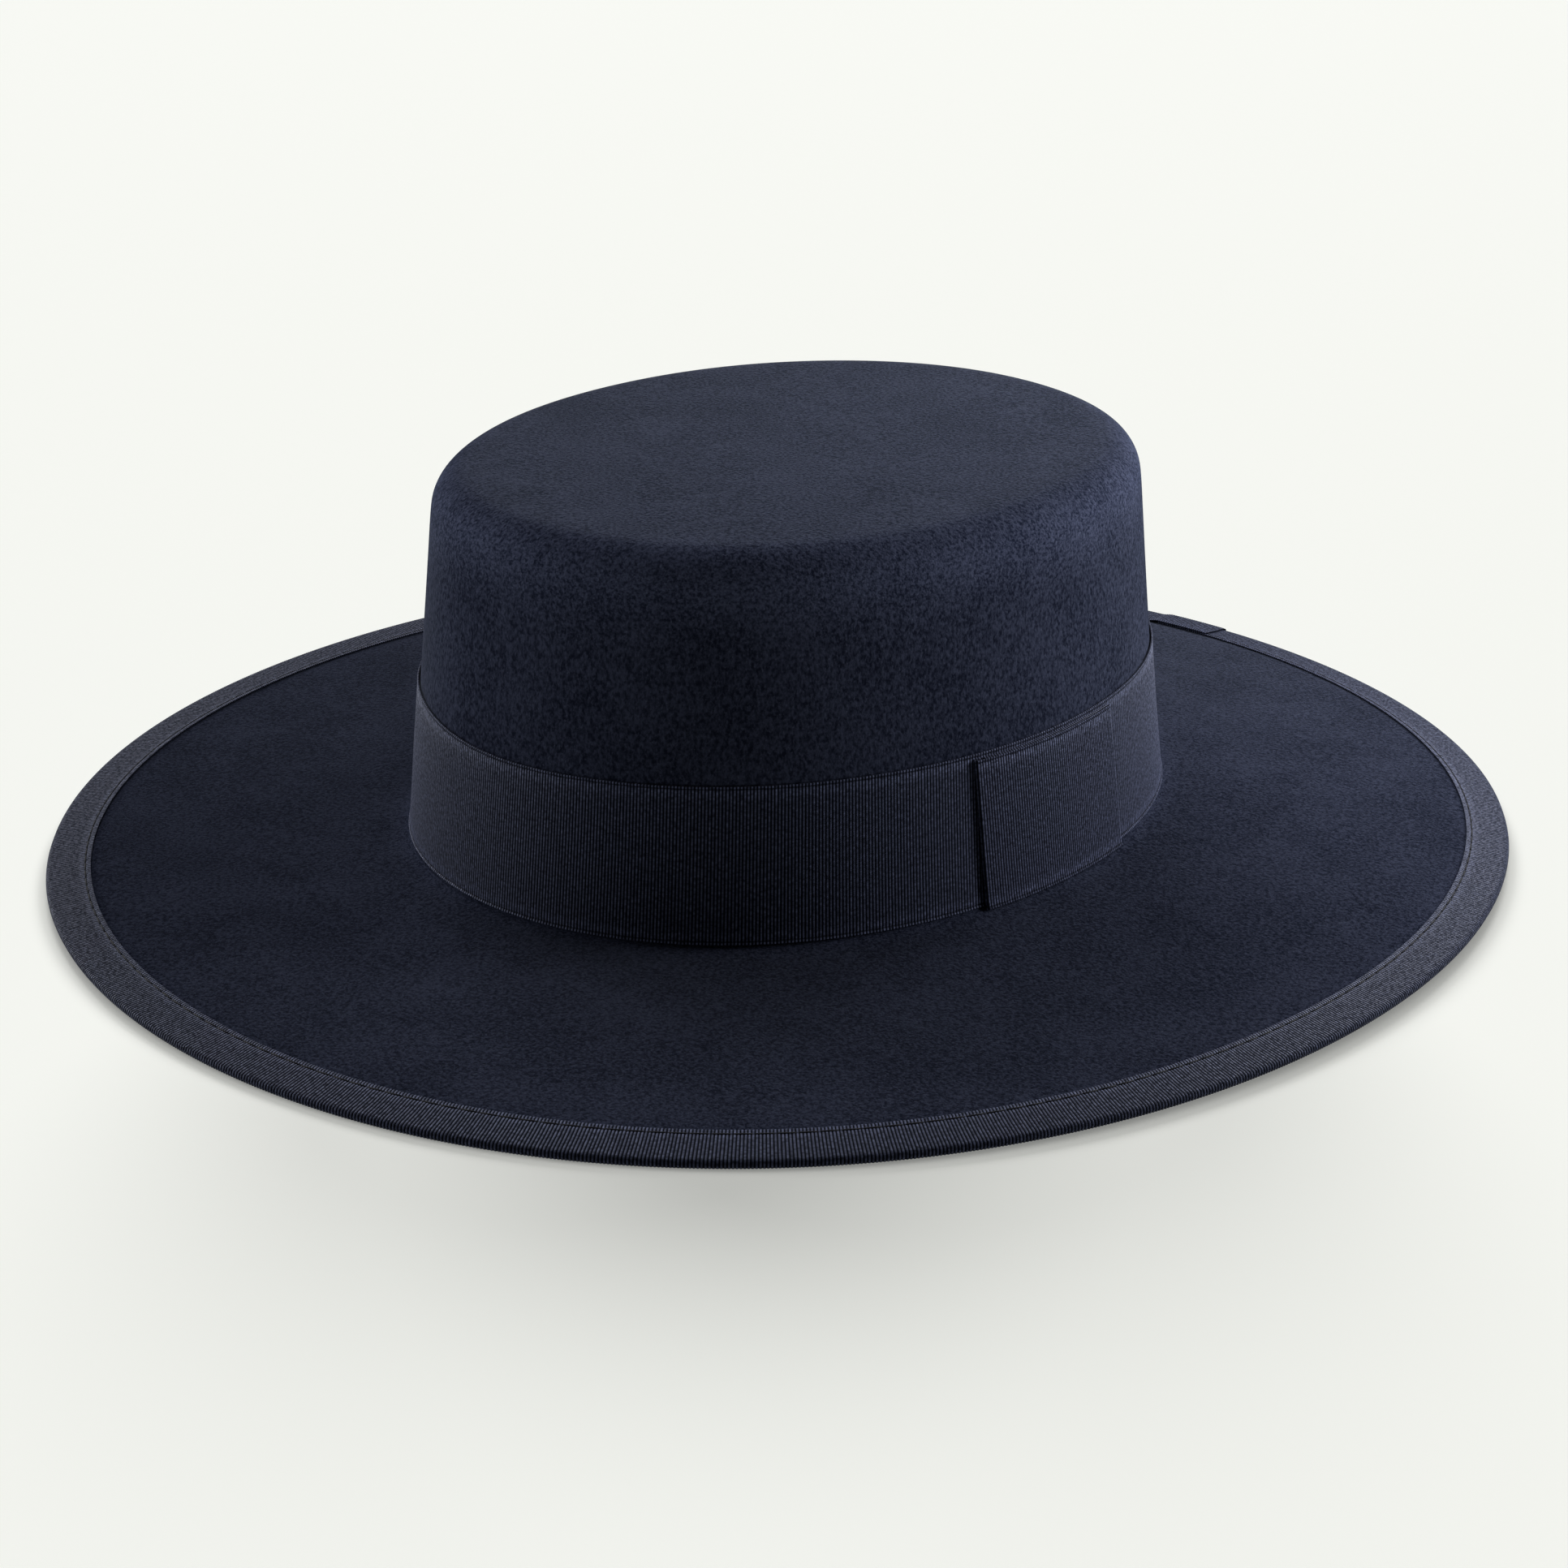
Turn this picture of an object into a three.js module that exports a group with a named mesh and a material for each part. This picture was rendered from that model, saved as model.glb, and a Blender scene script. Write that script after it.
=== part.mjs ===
// A gaucho hat: stiff felt with a flat-topped crown and a flat round brim, trimmed
// with ribbed ribbon. Millimetres, +Z up. The hat stands on its brim at z = 0, its
// front faces -Y and the wearer's left is +X.

import * as THREE from "three";

// Felt crown and brim, blocked from one piece
const headWidth = 167;
const headLength = 199;
const ovalFullness = 0.01;
const feltWall = 2.2;
const crownRise = 90.4;
const sideLean = 7;
const frontLean = 10.2;
const shoulderRadius = 10;
const footRadius = 2;
const footFlare = 0.4;
const flareReach = 12;
const brimWidth = 87.8;
const brimDrop = 5.2;
const brimBow = 0.25;

// Ribbons, and the gap that each keeps to what it lies on
const clearance = 0.3;
const bandHeight = 36.6;
const bandThickness = 0.6;
const bandLift = 1.2;
const bowWidth = 51;
const bowThickness = 1.8;
const bowDrop = 0.6;
const bindingWidth = 10;
const bindingThickness = 0.45;
const restWidth = 3;
const lapLength = 18;

// Facets: columns round the hat, and steps in a quarter turn of each bend
const columns = 72;
const shoulderSteps = 5;
const footSteps = 3;
const edgeSteps = 3;
const foldSteps = 3;

// Places that follow from the sizes
const edgeReach = feltWall / 2 + clearance + bindingThickness;
const edgeTop = edgeReach + feltWall / 2;
const brimRoot = edgeTop + brimDrop;
const crownTop = brimRoot + crownRise;
const brimSpan = brimWidth - feltWall / 2;
const brimEdge = feltWall + brimSpan;
const quarter = Math.PI / 2;
const columnAngle = (Math.PI * 2) / columns;

// Rows of the felt wall up to the shoulder, as shares of the crown's rise
const wallShares = [0.06, 0.13, 0.25, 0.42, 0.65];
// Rows of the brim, as shares of its span, from the foot out to the edge
const brimShares = [0.12, 0.4, 0.7, 0.93, 1];
// Rows of the band and the bow, as shares of their height, from the foot up
const ribbonShares = [0, 0.05, 0.2, 0.45, 1];
// Angles of the rows round the brim's edge, from its top to its underside
const edgeAngles = Array.from({ length: edgeSteps * 2 + 1 }, (_, i) => quarter - (quarter * i) / edgeSteps);

// A row of a profile has "grow", how much its oval is larger all round than the inside
// of the crown's foot, and "rise", the share of the crown's rise that leans it inwards.

// Outside of the crown's wall at a height over the brim's root, before it leans
function wallGrow(height) {
  return feltWall + footFlare * Math.exp(-height / flareReach);
}

// The same, with the bend that carries the wall into the brim
function footGrow(height) {
  const below = Math.max(footRadius - height, 0);
  return wallGrow(height) + footRadius - Math.sqrt(footRadius ** 2 - below ** 2);
}

// Top of the brim at a share of its span. It falls a little faster near the crown.
function brimTop(share) {
  return brimRoot - brimDrop * share * (1 + brimBow * (1 - share));
}

function brimGrow(share) {
  return feltWall + brimSpan * share;
}

// Rows on an arc in the profile, from one angle to another
function arcRows(centre, radius, from, to, steps) {
  const rows = [];
  for (let i = 0; i <= steps; i += 1) {
    const angle = from + ((to - from) * i) / steps;
    const grow = centre.grow + radius * Math.cos(angle);
    rows.push({ grow, z: centre.z + radius * Math.sin(angle), rise: centre.rise });
  }
  return rows;
}

// The point of a row at an angle round the hat. The oval is a little fuller than an
// ellipse on its diagonals.
function onOval({ grow, z, rise = 0 }, angle) {
  const full = 1 + ovalFullness * Math.sin(2 * angle) ** 2;
  const x = (headWidth / 2 + grow - sideLean * rise) * full * Math.cos(angle);
  const y = (headLength / 2 + grow - frontLean * rise) * full * Math.sin(angle);
  return [x, y, z];
}

function meshOf(name, points, faces, material) {
  const geometry = new THREE.BufferGeometry();
  geometry.setAttribute("position", new THREE.Float32BufferAttribute(points.flat(), 3));
  geometry.setIndex(faces);
  geometry.computeVertexNormals();
  const mesh = new THREE.Mesh(geometry, material);
  mesh.name = name;
  return mesh;
}

// A skin turned round the hat from rows that run from the axis, outside and down, and
// back to the axis inside. The two ends of the rows close on the axis.
function turnedSkin(name, rows, material) {
  const points = [[0, 0, rows[0].z]];
  const faces = [];
  for (const row of rows) {
    for (let column = 0; column < columns; column += 1) {
      points.push(onOval(row, column * columnAngle));
    }
  }
  points.push([0, 0, rows[rows.length - 1].z]);
  const at = (row, column) => 1 + row * columns + (column % columns);
  const last = rows.length - 1;
  for (let column = 0; column < columns; column += 1) {
    faces.push(0, at(0, column), at(0, column + 1));
    faces.push(points.length - 1, at(last, column + 1), at(last, column));
    for (let row = 0; row < last; row += 1) {
      faces.push(at(row, column), at(row + 1, column), at(row, column + 1));
      faces.push(at(row, column + 1), at(row + 1, column), at(row + 1, column + 1));
    }
  }
  return meshOf(name, points, faces, material);
}

// A ribbon swept round the hat. Each station has an angle and a closed loop of rows,
// which runs down on the outside and up on the inside. An open ribbon gets flat ends.
function sweptRibbon(name, stations, isRing, material) {
  const size = stations[0].loop.length;
  const points = stations.flatMap(({ angle, loop }) => loop.map((row) => onOval(row, angle)));
  const at = (station, row) => (station % stations.length) * size + (row % size);
  const faces = [];
  const last = stations.length - 1;
  for (let station = 0; station < (isRing ? stations.length : last); station += 1) {
    for (let row = 0; row < size; row += 1) {
      faces.push(at(station, row), at(station, row + 1), at(station + 1, row));
      faces.push(at(station + 1, row), at(station, row + 1), at(station + 1, row + 1));
    }
  }
  for (let row = 0; !isRing && row < size / 2 - 1; row += 1) {
    const other = size - 1 - row;
    faces.push(at(0, row), at(0, other), at(0, row + 1));
    faces.push(at(0, row + 1), at(0, other), at(0, other - 1));
    faces.push(at(last, row), at(last, row + 1), at(last, other));
    faces.push(at(last, row + 1), at(last, other - 1), at(last, other));
  }
  return meshOf(name, points, faces, material);
}

// Crown and brim: over the top, down the wall, out along the brim, round its edge and
// back on the underside, one felt's thickness away
function feltBody(material) {
  const leanAngle = Math.atan((sideLean + frontLean) / 2 / crownRise);
  const shoulderHeight = crownRise - shoulderRadius * (1 - Math.sin(leanAngle));
  const shoulderCentre = {
    grow: wallGrow(shoulderHeight) - shoulderRadius * Math.cos(leanAngle),
    z: crownTop - shoulderRadius,
    rise: shoulderHeight / crownRise,
  };
  const footCentre = {
    grow: wallGrow(footRadius) + footRadius,
    z: brimRoot + footRadius,
    rise: footRadius / crownRise,
  };
  const shoulder = (radius) => arcRows(shoulderCentre, radius, quarter, leanAngle, shoulderSteps);
  const foot = (radius) => arcRows(footCentre, radius, quarter * 2, quarter * 3, footSteps);
  const wall = (inset) => wallShares.map((share) => ({
    grow: wallGrow(share * crownRise) - inset,
    z: brimRoot + share * crownRise,
    rise: share,
  }));
  const brim = (drop) => brimShares.map((share) => ({ grow: brimGrow(share), z: brimTop(share) - drop }));
  const edge = edgeAngles.slice(1, -1).map((angle) => ({
    grow: brimEdge + (feltWall / 2) * Math.cos(angle),
    z: edgeTop - (feltWall / 2) * (1 - Math.sin(angle)),
  }));
  const outside = [...shoulder(shoulderRadius), ...wall(0).reverse(), ...foot(footRadius), ...brim(0)];
  const inside = [
    ...shoulder(shoulderRadius - feltWall),
    ...wall(feltWall).reverse(),
    ...foot(footRadius + feltWall),
    ...brim(feltWall),
  ];
  const rows = [...outside, ...edge, ...inside.reverse()];
  return turnedSkin("felt_body", rows, material);
}

// Ribbon band round the foot of the crown. It follows the wall down into the bend.
function hatBand(material) {
  const side = (out) => ribbonShares.map((share) => {
    const height = bandLift + share * bandHeight;
    return { grow: footGrow(height) + clearance + out, z: brimRoot + height, rise: height / crownRise };
  });
  const loop = [...side(bandThickness).reverse(), ...side(0)];
  const stations = Array.from({ length: columns }, (_, i) => ({ angle: i * columnAngle, loop }));
  return sweptRibbon("hat_band", stations, true, material);
}

// Flat bow on the wearer's left: the band's ribbon folded flat over the band, with a
// round fold at each end
function bandBow(material) {
  const low = bandLift - bowDrop;
  const foldRadius = bowThickness / 2;
  const middle = (height) => footGrow(Math.max(height, bandLift)) + 2 * clearance + bandThickness + foldRadius;
  const reach = headLength / 2 + middle(bandHeight / 2);
  const side = (out) => ribbonShares.map((share) => {
    const height = low + share * bandHeight;
    return { grow: middle(height) + out, z: brimRoot + height, rise: height / crownRise };
  });
  const station = (angle, half) => ({ angle, loop: [...side(half).reverse(), ...side(-half)] });
  const flatAngle = (bowWidth / 2 - foldRadius) / reach;
  const folds = Array.from({ length: foldSteps }, (_, i) => {
    const turn = (quarter * (foldSteps - i)) / foldSteps;
    return { angle: flatAngle + (foldRadius * Math.cos(turn)) / reach, half: foldRadius * Math.sin(turn) };
  });
  const stations = folds.map(({ angle, half }) => station(-angle, half)).reverse();
  const flatColumns = Math.ceil(flatAngle / columnAngle) - 1;
  for (let i = -flatColumns; i <= flatColumns; i += 1) {
    stations.push(station(i * columnAngle, foldRadius));
  }
  stations.push(...folds.map(({ angle, half }) => station(angle, half)));
  return sweptRibbon("band_bow", stations, false, material);
}

// Ribbon folded over the brim's edge. Its ends lap at the back, where it is two layers
// thick on top, and its underside is pressed flat where the hat rests.
function brimBinding(material) {
  const innerShare = 1 - (bindingWidth - edgeReach) / brimSpan;
  const restShare = 1 - restWidth / brimSpan;
  const shares = [innerShare, ...brimShares.filter((share) => share > innerShare && share < restShare)];
  const row = (share, lift) => ({ grow: brimGrow(share), z: brimTop(share) + lift });
  const bend = (radiusAt) => edgeAngles.map((angle) => ({
    grow: brimEdge + radiusAt(angle) * Math.cos(angle),
    z: edgeTop - feltWall / 2 + radiusAt(angle) * Math.sin(angle),
  }));
  const loopAt = (lap) => {
    const layers = (angle) => bindingThickness * (1 + (lap * (1 + Math.sin(angle))) / 2);
    return [
      ...shares.map((share) => row(share, clearance + layers(quarter))),
      ...bend((angle) => feltWall / 2 + clearance + layers(angle)),
      { grow: brimGrow(restShare), z: 0 },
      ...shares.map((share) => row(share, -feltWall - clearance - bindingThickness)).reverse(),
      ...shares.map((share) => row(share, -feltWall - clearance)),
      ...bend(() => feltWall / 2 + clearance).reverse(),
      ...shares.map((share) => row(share, clearance)).reverse(),
    ];
  };
  const reach = headWidth / 2 + brimEdge;
  const lapStart = quarter;
  const lapEnd = lapStart + lapLength / reach;
  const stepAngle = bindingThickness / reach;
  const stations = [
    { angle: lapStart - stepAngle, lap: 0 },
    { angle: lapStart, lap: 1 },
    { angle: lapEnd - stepAngle * 2, lap: 1 },
    { angle: lapEnd, lap: 0 },
  ];
  for (let i = 0; i < columns; i += 1) {
    const angle = i * columnAngle;
    if (stations.every((other) => Math.abs(other.angle - angle) > stepAngle)) {
      stations.push({ angle, lap: angle > lapStart && angle < lapEnd ? 1 : 0 });
    }
  }
  stations.sort((one, two) => one.angle - two.angle);
  const loops = stations.map(({ angle, lap }) => ({ angle, loop: loopAt(lap) }));
  return sweptRibbon("brim_binding", loops, true, material);
}

const felt = new THREE.MeshStandardMaterial({ color: 0x1b2029, roughness: 0.95, metalness: 0 });
const bandRibbon = new THREE.MeshStandardMaterial({ color: 0x22262f, roughness: 0.7, metalness: 0 });
const bindingRibbon = new THREE.MeshStandardMaterial({ color: 0x2a2e38, roughness: 0.7, metalness: 0 });

const hat = new THREE.Group();
hat.add(feltBody(felt), hatBand(bandRibbon), bandBow(bandRibbon), brimBinding(bindingRibbon));

export default hat;
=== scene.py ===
# A gaucho hat of stiff dark felt: flat-topped oval crown and flat round brim in one piece,
# trimmed with ribbed ribbon as band, flat side bow and edge binding. Metres, +Z up.
import math

import bpy
import numpy as np
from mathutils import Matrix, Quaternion, Vector


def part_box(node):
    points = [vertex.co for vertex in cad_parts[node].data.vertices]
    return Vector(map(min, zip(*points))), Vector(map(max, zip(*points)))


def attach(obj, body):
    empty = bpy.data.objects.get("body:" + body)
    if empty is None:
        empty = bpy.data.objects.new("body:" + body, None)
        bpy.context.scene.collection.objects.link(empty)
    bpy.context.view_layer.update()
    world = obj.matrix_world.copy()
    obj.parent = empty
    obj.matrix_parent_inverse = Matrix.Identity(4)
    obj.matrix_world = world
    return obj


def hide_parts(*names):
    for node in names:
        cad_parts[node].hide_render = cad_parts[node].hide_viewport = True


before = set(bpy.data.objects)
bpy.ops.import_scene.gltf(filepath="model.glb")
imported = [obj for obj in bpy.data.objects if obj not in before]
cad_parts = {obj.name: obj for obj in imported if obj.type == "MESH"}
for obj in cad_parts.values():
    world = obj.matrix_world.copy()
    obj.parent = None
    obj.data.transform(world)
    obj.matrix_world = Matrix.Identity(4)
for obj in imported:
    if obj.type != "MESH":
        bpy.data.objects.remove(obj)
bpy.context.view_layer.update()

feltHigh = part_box("felt_body")[1]
bandLow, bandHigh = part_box("hat_band")
bowLow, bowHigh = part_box("band_bow")

hatForm = {
    "brimWidth": 0.0878,         # from the crown's foot to the felt's edge
    "feltThickness": 0.0022,
    "crownRise": 0.0904,         # from the brim's root to the flat top
    "sideLean": 0.0070,          # how far the wall leans in over the crown's rise
    "frontLean": 0.0102,
    "footRadius": 0.0020,
    "footFlare": 0.0004,
    "flareReach": 0.012,
    "brimDrop": 0.0052,
    "brimBow": 0.25,             # the brim falls a little faster near the crown
    "edgeThickness": 0.0015,     # the felt is pressed thinner under its binding
    "edgeDroop": 0.0010,
    "droopReach": 0.0120,
    "edgeTrim": 0.0004,
    "ovalFullness": 0.01,        # fuller than an ellipse on the diagonals
}

# The oval of the crown's foot, the brim's root and the middle of the felt's round edge
footWidth = feltHigh.x - hatForm["brimWidth"]
footLength = feltHigh.y - hatForm["brimWidth"]
brimRoot = feltHigh.z - hatForm["crownRise"]
halfEdge = hatForm["edgeThickness"] / 2
brimSpan = hatForm["brimWidth"] - hatForm["edgeTrim"] - halfEdge
edgeHeight = brimRoot - hatForm["brimDrop"] - hatForm["edgeDroop"] - halfEdge


def eased(share):
    # 0 to 1 with a soft start and a soft end
    share = np.clip(share, 0, 1)
    return share * share * (3 - 2 * share)


def wallGrow(height):
    return hatForm["footFlare"] * np.exp(-height / hatForm["flareReach"])


def footGrow(height):
    # the wall with the bend that carries it into the brim
    below = np.maximum(hatForm["footRadius"] - height, 0)
    bend = hatForm["footRadius"] - np.sqrt(hatForm["footRadius"] ** 2 - below ** 2)
    return wallGrow(np.maximum(height, 0)) + bend


def edgeNearness(share):
    return eased(1 - (1 - share) * brimSpan / hatForm["droopReach"])


def brimTop(share):
    fall = hatForm["brimDrop"] * share * (1 + hatForm["brimBow"] * (1 - share))
    return brimRoot - fall - hatForm["edgeDroop"] * edgeNearness(share)


def brimUnder(share):
    thinned = (hatForm["feltThickness"] - hatForm["edgeThickness"]) * edgeNearness(share)
    return brimTop(share) - hatForm["feltThickness"] + thinned


def ovalAxes(grow, rise):
    # half width and half length of a row that has grown outwards and leans by its share of the rise
    return footWidth + grow - hatForm["sideLean"] * rise, footLength + grow - hatForm["frontLean"] * rise


def onOval(grow, rise, height, angle):
    halfWidth, halfLength = ovalAxes(grow, rise)
    full = 1 + hatForm["ovalFullness"] * np.sin(2 * angle) ** 2
    return np.stack([halfWidth * full * np.cos(angle), halfLength * full * np.sin(angle),
                     np.broadcast_to(height, np.shape(halfWidth * angle))], axis=1)


def evenAngles(grow, rise, start, turn, count=4000):
    # angles along a row and how far each lies from the start, so that ribs can be spaced evenly
    angles = np.linspace(start, start + turn, count)
    points = onOval(grow, rise, 0.0, angles)
    steps = np.hypot(*np.diff(points[:, :2], axis=0).T)
    return angles, np.concatenate([[0], np.cumsum(steps)])


settling = {
    "crownSlopes": (-0.0117, -0.01595),   # the crown stands a little askew on the brim
    "slopeHeight": 0.0094,
    "crownHold": 1.3,                     # how fast the slant fades out over the brim
    "edgeLift": 0.0009,                   # the brim's edge lifts at two opposite places
    "edgeLiftAngle": math.radians(22),
    "edgeLiftPower": 1.5,
    "backCurl": 0.0013,                   # and curls up at the back, towards the wearer's right
    "backCurlAngle": math.radians(140),
    "uneven": 0.00016,
    "unevenFade": 0.02,                   # the wall is even at its foot and uneven from here up
    "brimUneven": 0.8,                    # the brim's share of the unevenness
    "waves": (
        # strength, waves round the hat, height of a turn, start
        (1.0, 3, 0.021, 0.6),
        (0.7, 5, -0.034, 2.1),
        (0.5, 8, 0.017, 0.0),
    ),
}


def brimPlace(x, y):
    # how far out on the brim a point lies, from 0 at the crown's foot to 1 at the edge, and its angle
    direction = np.arctan2(y, x)
    foot = 1 / np.hypot(np.cos(direction) / footWidth, np.sin(direction) / footLength)
    edge = 1 / np.hypot(np.cos(direction) / feltHigh.x, np.sin(direction) / feltHigh.y)
    share = np.clip((np.hypot(x, y) - foot) / (edge - foot), 0, 1)
    return share, np.arctan2(y / (footLength + share * brimSpan), x / (footWidth + share * brimSpan))


def settle(points):
    # the hat as it has settled on the table: crown askew, brim in a slight saddle, walls a little uneven
    x, y, z = points.T
    share, angle = brimPlace(x, y)
    slopeX, slopeY = settling["crownSlopes"]
    hold = (1 - share) ** settling["crownHold"]
    over = z - settling["slopeHeight"]
    saddle = 1 + np.cos(2 * (angle - settling["edgeLiftAngle"]))
    lift = settling["edgeLift"] * saddle * share ** settling["edgeLiftPower"]
    curl = settling["backCurl"] * np.maximum(np.cos(angle - settling["backCurlAngle"]), 0) ** 2
    lift = lift + curl * edgeNearness(share)
    wander = sum(strength * np.sin(count * angle + z / turn + start)
                 for strength, count, turn, start in settling["waves"])
    out = settling["uneven"] * wander * hold * np.clip(over / settling["unevenFade"], 0, 1)
    ripple = settling["uneven"] * settling["brimUneven"] * wander * share * (1 - share)
    return np.stack([
        x + hold * slopeX * over + out * np.cos(angle),
        y + hold * slopeY * over + out * np.sin(angle),
        z - hold * (slopeX * x + slopeY * y) + lift + ripple,
    ], axis=1)


def deselectAll():
    bpy.ops.object.select_all(action="DESELECT")


def activate(piece):
    deselectAll()
    piece.select_set(True)
    bpy.context.view_layer.objects.active = piece


def pointsOf(piece):
    points = np.zeros(len(piece.data.vertices) * 3)
    piece.data.vertices.foreach_get("co", points)
    return points.reshape(-1, 3)


def movePoints(piece, points):
    piece.data.vertices.foreach_set("co", points.astype(np.float32).ravel())
    piece.data.update()


def selectPoints(piece, chosen):
    # selects vertices in object mode, ready for an operator in edit mode
    for part in (piece.data.edges, piece.data.polygons):
        part.foreach_set("select", np.zeros(len(part), dtype=bool))
    piece.data.vertices.foreach_set("select", chosen)


def applyModifiers(piece):
    activate(piece)
    for modifier in list(piece.modifiers):
        bpy.ops.object.modifier_apply(modifier=modifier.name)


def finishPiece(piece, nodes, material):
    piece.data.materials.clear()
    piece.data.materials.append(material)
    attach(piece, "root")
    if nodes:
        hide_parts(*nodes)
    print("made", piece.name, len(piece.data.polygons), "faces")


def newMaterial(name, constants):
    material = bpy.data.materials.new(name)
    material.use_nodes = True
    shader = material.node_tree.nodes["Principled BSDF"]
    for key, value in constants.items():
        shader.inputs[key].default_value = value
    return material, material.node_tree, shader


def addNode(tree, kind, inputs=None, **options):
    # adds a shader node, sets its options and fills its sockets with values or links
    made = tree.nodes.new("ShaderNode" + kind)
    for key, value in options.items():
        setattr(made, key, value)
    for key, value in (inputs or {}).items():
        if isinstance(value, bpy.types.NodeSocket):
            tree.links.new(value, made.inputs[key])
        else:
            made.inputs[key].default_value = value
    return made


def compute(tree, operation, *values, **options):
    return addNode(tree, "Math", dict(enumerate(values)), operation=operation, **options).outputs[0]


def noise(tree, place, look):
    return addNode(tree, "TexNoise", {"Vector": place, **look}).outputs["Fac"]


def ranged(tree, value, limits):
    return addNode(tree, "MapRange", {"Value": value, **limits}).outputs["Result"]


def blend(tree, share, low, high, **options):
    # the first colour where the share is 0 and the second where it is 1
    inputs = {"Factor": share, "A": low, "B": high}
    return addNode(tree, "Mix", inputs, data_type="RGBA", **options).outputs["Result"]


def cover(tree, shader, colour, height, strength, distance):
    # gives the shader its colour and its bump
    bump = addNode(tree, "Bump", {"Height": height, "Strength": strength, "Distance": distance})
    tree.links.new(colour, shader.inputs["Base Color"])
    tree.links.new(bump.outputs["Normal"], shader.inputs["Normal"])


# Felt of the crown and the brim
feltLook = {
    "deep": (0.0062, 0.0078, 0.0155, 1),
    "pale": (0.0275, 0.0320, 0.0540, 1),
    "fibre": (0.062, 0.071, 0.108, 1),
    "nap": {"Scale": 2050, "Detail": 4.0, "Roughness": 0.62},
    "tuft": {"Scale": 1127.5, "Detail": 3.0, "Roughness": 0.6},
    "blotch": {"Scale": 55, "Detail": 4.0, "Roughness": 0.55},
    "napShare": 0.6,
    "spread": {"From Min": 0.64, "From Max": 0.955},
    "blotchLight": {"From Min": 0.3, "From Max": 0.72, "To Min": -0.18, "To Max": 0.18},
    "glint": {"From Min": 0.60, "From Max": 0.78, "To Max": 0.62},
    "bumpStrength": 0.70,
    "bumpFall": 0.30,             # how much weaker the bump is on the brushed wall
    "bumpDistance": 0.0004,
    "wallStretch": 1.45,
    "stretchDepth": 0.017,        # how far below the top the stretched nap keeps its place
    "brushDepth": 0.005,          # the brushing starts this far below the top
    "brushFade": 0.024,
    "brushEnd": 0.006,
    "shoulderHighlight": 0.6,              # painted highlight: how much paler the crown's shoulder is painted
    "highlightDepth": 0.0070,
    "highlightReach": 0.0085,
    "highlightFrom": 0.80,            # as a share of the foot's oval
    "highlightFade": 0.10,
    "brimShade": 0.30,                # painted shade: how much darker the brim is painted
    "brimShadeFade": 0.08,
    "constants": {
        "Roughness": 1.0,
        "Specular IOR Level": 0.0,
        "Sheen Weight": 0.060,
        "Sheen Roughness": 0.30,
        "Sheen Tint": (0.80, 0.88, 1.0, 1),
    },
}


def feltMaterial():
    look = feltLook
    material, tree, shader = newMaterial("darkFelt", look["constants"])
    place = addNode(tree, "TexCoord").outputs["Object"]
    wall = addNode(tree, "Attribute", attribute_name="wall").outputs["Fac"]
    # the nap is brushed down the wall and lies every way on the brim
    stretch = look["wallStretch"]
    brushed = addNode(tree, "Mapping", {
        "Vector": place,
        "Location": (0, 0, (feltHigh.z - look["stretchDepth"]) * (1 - 1 / stretch)),
        "Scale": (1, 1, 1 / stretch),
    }).outputs["Vector"]
    napPlace = addNode(tree, "Mix", {"Factor": wall, "A": place, "B": brushed}, data_type="VECTOR")
    napVector = napPlace.outputs["Result"]
    nap = noise(tree, napVector, look["nap"])
    tuft = noise(tree, napVector, look["tuft"])
    blotch = noise(tree, place, look["blotch"])
    height = compute(tree, "MULTIPLY_ADD", nap, look["napShare"], tuft)
    spread = ranged(tree, height, look["spread"])
    mixed = compute(tree, "ADD", spread, ranged(tree, blotch, look["blotchLight"]), use_clamp=True)
    base = blend(tree, mixed, look["deep"], look["pale"])
    colour = blend(tree, ranged(tree, nap, look["glint"]), base, look["fibre"])
    # painted light: the colour is made paler over the shoulder and darker on the brim
    paintedLight = addNode(tree, "Attribute", attribute_name="paintedLight").outputs["Fac"]
    paintedLightColour = addNode(tree, "VectorMath", {0: colour, "Scale": paintedLight}, operation="SCALE").outputs["Vector"]
    # the brushed wall is smoother than the rest
    strength = compute(tree, "MULTIPLY_ADD", wall, -look["bumpFall"], look["bumpStrength"])
    cover(tree, shader, paintedLightColour, height, strength, look["bumpDistance"])
    return material


feltShape = {
    "columns": 92,
    "roundingLevels": 2,
    "shoulderRadius": 0.010,
    "shoulderSteps": 6,
    "innerShoulderSteps": 4,
    "footSteps": 3,
    "edgeSteps": 4,
    "topRings": (0.07, 0.38, 0.68, 0.90),
    "wallShares": (0.80, 0.68, 0.56, 0.44, 0.33, 0.23, 0.14, 0.07),
    "brimShares": (0.05, 0.12, 0.24, 0.38, 0.52, 0.66, 0.78, 0.87, 0.92, 0.96),
    "innerShares": (0.96, 0.91, 0.86, 0.70, 0.40, 0.10),
    "innerWallShares": (0.10, 0.35, 0.65),
    "innerTopRings": (0.6, 0.1),
}


def arcRows(grow, height, rise, radius, start, end, steps):
    rows = []
    for turn in np.linspace(start, end, steps + 1):
        rows.append((*ovalAxes(grow + radius * math.cos(turn), rise), height + radius * math.sin(turn)))
    return rows


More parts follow.
